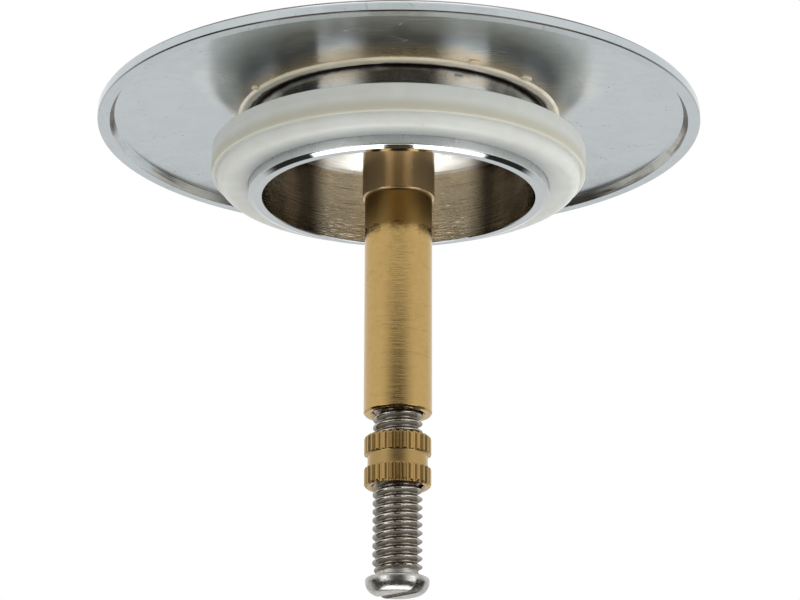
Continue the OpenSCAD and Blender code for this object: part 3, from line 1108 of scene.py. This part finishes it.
@dataclass
class Screw(Piece):
    """The adjusting screw: a rolled thread, a neck and a rounded head with a slot."""

    body: Body = Body.SCREW
    crest_r: float = 2.88
    root_r: float = 2.30
    neck_r: float = 2.45
    pitch: float = 1.0
    start: float = 0.3
    steep: float = 1.34
    flat: float = 0.17
    soft: float = 0.3
    tip_len: float = 0.8
    head_z: float = -46.0
    foot_z: float = -47.9
    tip_z: float = -14.0
    head_r: float = 3.7
    slot_w: float = 1.4
    slot_depth: float = 1.2
    slot_angle: float = math.radians(-42)
    slot_edge: float = 0.06
    thread_cols: int = 88
    head_cols: int = 160

    def thread_radius(self, z: Array, angle: Array) -> Array:
        """Radius of the thread: a rounded ridge wherever the height equals the turn's own height.

        The distance from the ridge's middle is (z - start) / pitch - angle / full turn, taken to
        its nearest whole number. The ridge is a clipped wedge with a softened crest, and it fades
        towards the head and the tip.

        Args:
            z: Heights.
            angle: Angles round the axis.

        Returns:
            The radius at each point.
        """
        place = (z - self.start) / self.pitch - angle / FULL_TURN
        off = np.abs(place - np.round(place)) * 2
        ridge = np.clip(self.steep * (1 - off) - self.flat, 0, 1)
        ridge = (1 - self.soft) * ridge + self.soft * smooth(ridge)
        fade = smooth(share(z, self.head_z + 0.35, self.head_z + 1.3))
        tip = share(z, self.tip_z, self.tip_z - self.tip_len)
        root = self.root_r + (self.neck_r - self.root_r) * (1 - fade)
        return root + (self.crest_r - self.root_r) * ridge * fade * tip

    def shank(self) -> Mesh:
        """The threaded shank, closed inside the head and at its tip."""
        first = self.head_z + 0.4
        z = np.r_[first, np.arange(first, self.tip_z, self.pitch / 16), self.tip_z][:, None]
        angle = np.arange(self.thread_cols) * (FULL_TURN / self.thread_cols)
        r = self.thread_radius(z, angle[None, :])
        r[0], r[-1] = 0.0, 0.0
        r[-2] = self.root_r - 0.3
        return grid_mesh("screw_shank", around(r, z, angle), Ends.POLES)

    def head(self) -> Mesh:
        """The rounded head, turned and then cut by a box for the slot."""
        path = profile([
            (0, self.foot_z, 0), (self.head_r, self.foot_z, 1.5), (self.head_r, self.head_z, 0.3),
            (self.neck_r, self.head_z, 0.15), (self.neck_r, self.head_z + 0.6, 0.0),
            (0, self.head_z + 0.6, 0)], 0.2, closed=False, steps=12)
        blank = grid_mesh("head_blank", turned_grid(path, self.head_cols), Ends.POLES)
        x = np.array([-1, 1, 1, -1, -1, 1, 1, -1]) * 2 * self.head_r
        y = np.array([-1, -1, 1, 1, -1, -1, 1, 1]) * self.slot_w / 2
        z = np.repeat([self.foot_z - 1.0, self.foot_z + self.slot_depth], 4)
        c, s = math.cos(self.slot_angle), math.sin(self.slot_angle)
        quads = np.array([[0, 3, 2, 1], [4, 5, 6, 7], [0, 1, 5, 4], [1, 2, 6, 5], [2, 3, 7, 6], [3, 0, 4, 7]])
        box = flat_mesh("slot_cutter", np.stack([x * c - y * s, x * s + y * c, z], axis=1), quads)
        head, cutter = new_object("head_blank", blank), new_object("slot_cutter", box)
        cut = head.modifiers.new("slot", "BOOLEAN")
        cut.operation, cut.object, cut.solver = "DIFFERENCE", cutter, "EXACT"
        bevel = head.modifiers.new("edges", "BEVEL")
        bevel.width, bevel.segments = self.slot_edge * MM, 2
        bevel.limit_method, bevel.angle_limit = "ANGLE", math.radians(50)
        done = bpy.data.meshes.new_from_object(head.evaluated_get(bpy.context.evaluated_depsgraph_get()))
        for item in (head, cutter):
            bpy.data.objects.remove(item)
        tidy_mesh(done)
        done.name = "screw_head"
        return done

    def build(self) -> None:
        """Makes the shank and the head."""
        self.place(self.shank(), Slot.SCREW, "adjusting_screw", "screw_steel")
        self.place(self.head(), Slot.SCREW, None, "head_steel")


@dataclass
class Nut(Piece):
    """The lock nut: two straight-knurled bands with a waist between them."""

    body: Body = Body.NUT
    low_z: float = -35.3
    top_z: float = -29.3
    crest_r: float = 3.9
    tooth: float = 0.32
    waist_r: float = 3.5
    band_h: float = 2.15
    bore_r: float = 2.95
    chamfer: float = 0.28
    teeth: int = 28
    flat: float = 0.26
    flank: float = 0.5
    blend: float = 0.12
    tooth_cols: int = 14

    def build(self) -> None:
        """Makes the nut, whose outline is the same from both ends.

        The outer wall stands at crest_r, and in the bands each column sinks by the tooth depth
        times a rounded trapezoid of its place in the tooth's pitch.
        """
        half = [
            (self.bore_r, 0.3, 0.05), (self.bore_r + self.chamfer, 0.0, 0.04),
            (self.crest_r - self.chamfer, 0.0, 0.05), (self.crest_r, 0.26, 0.08),
            (self.crest_r, self.band_h, 0.08), (self.waist_r, self.band_h + 0.02, 0.08)]
        path = profile([*((r, self.low_z + up, bend) for r, up, bend in half),
                        *((r, self.top_z - up, bend) for r, up, bend in reversed(half))], 0.08, steps=4)
        cols = self.teeth * self.tooth_cols
        grid = turned_grid(path, cols)
        off = np.abs((np.arange(cols) * (self.teeth / cols) + 0.5) % 1 - 0.5) * 2
        limit = self.crest_r - self.tooth * smooth(share(off, self.flat, self.flat + self.flank))
        r = path[:, :1]
        inside = np.clip(0.5 + (limit - r) / self.blend, 0, 1)
        cut = inside * r + (1 - inside) * limit - self.blend / 2 * inside * (1 - inside)
        grid[..., :2] *= (cut / r)[..., None]
        cut_thread(grid, path, self.bore_r)
        self.place(grid_mesh("nut_knurled", grid, Ends.RING), Slot.NUT, "lock_nut", "nut_brass")


# Studio


@dataclass(frozen=True)
class Camera:
    """The camera of the photograph, fitted to its circles."""

    place: Place = (0.0, -0.3346, -0.12065)
    rise: float = math.radians(17.9)
    lean: float = math.radians(0.197)
    lens: float = 134.43
    shift_x: float = 0.0022
    shift_y: float = 0.0004
    sensor: float = 36.0
    nearest: float = 0.01

    def build(self) -> None:
        """Adds the camera and makes it the scene's own."""
        data = bpy.data.cameras.new("camera")
        data.lens, data.sensor_width, data.sensor_fit = self.lens, self.sensor, "HORIZONTAL"
        data.shift_x, data.shift_y, data.clip_start = self.shift_x, self.shift_y, self.nearest
        made = new_object("camera", data)
        ahead = mathutils.Vector((0.0, math.cos(self.rise), math.sin(self.rise)))
        level = mathutils.Vector(ACROSS)
        up = level.cross(ahead) * math.cos(self.lean) - level * math.sin(self.lean)
        axes = mathutils.Matrix((ahead.cross(up), up, -ahead)).transposed()
        made.location = self.place
        made.rotation_euler = axes.to_euler()
        bpy.context.scene.camera = made


@dataclass(frozen=True)
class Lamp:
    """A soft rectangular lamp that looks at a point and may fade in across its width."""

    name: str
    place: Place
    target: Place
    size: Range
    power: float
    fade: Range | None = None
    lights_matt: bool = True

    def build(self) -> None:
        """Adds the lamp, which the camera doesn't see."""
        data = bpy.data.lights.new(self.name, "AREA")
        data.shape, data.energy = "RECTANGLE", self.power
        data.size, data.size_y = self.size
        made = new_object(self.name, data)
        made.location = self.place
        aim = mathutils.Vector(self.target) - mathutils.Vector(self.place)
        made.rotation_euler = aim.to_track_quat("-Z", "Y").to_euler()
        made.visible_camera, made.visible_diffuse = False, self.lights_matt
        if self.fade:
            data.use_nodes = True
            wire = Wiring(data.node_tree)
            across = wire.parts(wire.node("ShaderNodeNewGeometry").outputs["Parametric"])[0]
            wire.fill(wire.tree.nodes["Emission"], Strength=wire.ramp(across, *self.fade))


@dataclass(frozen=True)
class Studio:
    """A plain pale floor, two soft lamps beside the camera, one below, one above, and a pale world.

    A range says where along its axis a part of the world's light starts and where it is full, and
    then from which level to which.
    """

    LAMPS: ClassVar = (
        Lamp("lamp_left", (-0.43, -0.48, -0.16), (0, 0, -0.02), (0.50, 0.42), 1.3, (1.0, 0.5)),
        Lamp("lamp_right", (0.48, -0.44, -0.16), (0, 0, -0.02), (0.54, 0.42), 1.5, (0.0, 0.5)),
        Lamp("lamp_below", (0.0, 0.11, -0.35), (0.0, 0.11, 0), (0.28, 0.26), 0.62, lights_matt=False),
        Lamp("lamp_top", (0.0, -0.1, 0.8), (0, 0, 0), (0.8, 0.8), 3.0))
    floor_z: float = -0.40
    floor_size: float = 0.7
    floor_back: float = 0.13
    floor_tone: Colour = (0.70, 0.70, 0.70)
    floor_fade: Range = (0.24, 0.31)
    back_y: Range = (0.15, 0.45, 0.0, 0.87)
    back_z: Range = (-0.62, -0.50)
    dark_x: Range = (0.95, 0.1)
    dark_y: Range = (0.1, -0.1)
    dark_z: Range = (0.315, 0.285, 0.0, 0.9)
    above_z: Range = (-0.05, 0.12)
    side_x: Range = (0.5, 0.9, 0.03, 0.3)
    front_y: Range = (-0.3, -0.6, 0.0, 0.05)
    front_z: Range = (0.05, -0.15)
    soft_x: Range = (-0.9, 0.9, 0.52, 0.94)
    soft_y: Range = (-0.9, 0.9, 0.85, 1.3)
    soft_z: Range = (-0.2, -0.9, 1.0, 1.35)

    def world(self) -> None:
        """White to the camera; to mirrors a pale room that is dark around the camera; else a soft sky."""
        world = bpy.data.worlds.new("studio")
        bpy.context.scene.world = world
        world.use_nodes = True
        wire = Wiring(world.node_tree)
        x, y, z = wire.parts(wire.node("ShaderNodeTexCoord").outputs["Generated"])
        back = wire.times(wire.ramp(y, *self.back_y), wire.ramp(z, *self.back_z))
        dark = wire.times(wire.ramp(y, *self.dark_y), wire.ramp(wire.math("ABSOLUTE", x), *self.dark_x))
        dark = wire.times(dark, wire.ramp(z, *self.dark_z))
        above = wire.times(wire.ramp(z, *self.above_z), wire.minus(1.0, dark))
        side = wire.ramp(x, *self.side_x)
        front = wire.times(wire.ramp(y, *self.front_y), wire.ramp(z, *self.front_z))
        room = wire.math("MAXIMUM", wire.math("MAXIMUM", side, front), wire.math("MAXIMUM", back, above))
        ray = wire.node("ShaderNodeLightPath").outputs
        seen = wire.math("MAXIMUM", ray["Is Camera Ray"], ray["Is Transmission Ray"])
        soft = wire.times(wire.ramp(x, *self.soft_x), wire.ramp(y, *self.soft_y))
        soft = wire.times(soft, wire.ramp(z, *self.soft_z))
        mirrored = wire.times(ray["Is Glossy Ray"], wire.math("LESS_THAN", ray["Diffuse Depth"], 0.5))
        level = wire.plus(wire.times(mirrored, room), wire.times(wire.minus(1.0, mirrored), soft))
        level = wire.plus(seen, wire.times(wire.minus(1.0, seen), level))
        wire.fill(world.node_tree.nodes["Background"], Color=(1.0, 1.0, 1.0), Strength=level)

    def floor(self) -> None:
        """Adds the floor, which is see-through from below and fades out towards its edge."""
        half, z = self.floor_size / 2 / MM, self.floor_z / MM
        points = np.array([[-half, -half, z], [half, -half, z], [half, half, z], [-half, half, z]])
        mesh = flat_mesh("floor", points, np.array([[0, 1, 2, 3]]))
        made = new_object("floor", mesh)
        paint = Paint("floor_pale")
        paint.dress(Base_Color=self.floor_tone, Roughness=0.9)
        reach = paint.vector("SUBTRACT", paint.where, (0.0, self.floor_back, self.floor_z))
        fade = (self.floor_size * part for part in self.floor_fade)
        edge = paint.ramp(paint.vector("LENGTH", reach), *fade)
        gone = paint.math("MAXIMUM", edge, paint.node("ShaderNodeNewGeometry").outputs["Backfacing"])
        clear = paint.node("ShaderNodeBsdfTransparent").outputs[0]
        mixer = paint.node("ShaderNodeMixShader", gone, paint.shader.outputs[0], clear)
        paint.fill(paint.tree.nodes["Material Output"], mixer.outputs[0])
        mesh.materials.append(paint.made)

    def build(self) -> None:
        """Sets the view transform and adds the world, the floor and the lamps."""
        bpy.context.scene.view_settings.view_transform = "Standard"
        self.world()
        self.floor()
        for lamp in self.LAMPS:
            lamp.build()


def main() -> None:
    """Builds the studio and every piece."""
    logging.basicConfig(level=logging.INFO, format="%(message)s")
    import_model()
    Studio().build()
    Camera().build()
    effects = Effects()
    materials = {finish.name: finish.material(effects) for finish in FINISHES}
    cap = Cap(materials)
    cap.build()
    Hub(materials).build(cap)
    Solder(materials).build(cap)
    for piece in (Seal, Stem, Screw, Nut):
        piece(materials).build()


if __name__ == "__main__":
    main()
